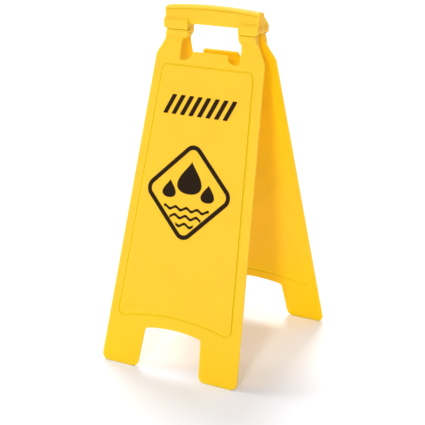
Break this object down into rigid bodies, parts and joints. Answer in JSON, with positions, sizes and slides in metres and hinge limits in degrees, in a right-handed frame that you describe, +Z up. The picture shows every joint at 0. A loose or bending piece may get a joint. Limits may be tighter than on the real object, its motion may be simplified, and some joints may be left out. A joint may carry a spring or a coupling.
{
  "type": "folding floor sign",
  "caption": "Folding A-frame floor warning sign: two moulded plastic panels with feet, hinged on pins under one carry handle.",
  "frame": {"origin": "middle of the footprint on the floor, with the sign standing open", "axes": "+Z up, +X to the right of someone facing the front panel, -Y out of the front panel"},
  "size_m": [0.2784, 0.3534, 0.63],
  "materials": {
    "panel_plastic": "moulded yellow polypropylene sheet, satin, with black screen print on the outer faces",
    "handle_plastic": "moulded yellow polypropylene, satin",
    "pin_plastic": "moulded yellow nylon, smooth"
  },
  "bodies": {
    "handle": {"carry_handle": "handle_plastic", "hinge_pin_front_left": "pin_plastic", "hinge_pin_front_right": "pin_plastic", "hinge_pin_rear_left": "pin_plastic", "hinge_pin_rear_right": "pin_plastic"},
    "front": {"front_panel": "panel_plastic"},
    "rear": {"rear_panel": "panel_plastic"}
  },
  "joints": [
    {"name": "front_fold", "type": "hinge", "parent": "handle", "child": "front", "pos_m": [0, -0.0095, 0.597], "axis": [1, 0, 0], "range_deg": [0, 15.9]},
    {"name": "rear_fold", "type": "hinge", "parent": "handle", "child": "rear", "pos_m": [0, 0.0095, 0.597], "axis": [-1, 0, 0], "range_deg": [0, 15.9]}
  ]
}
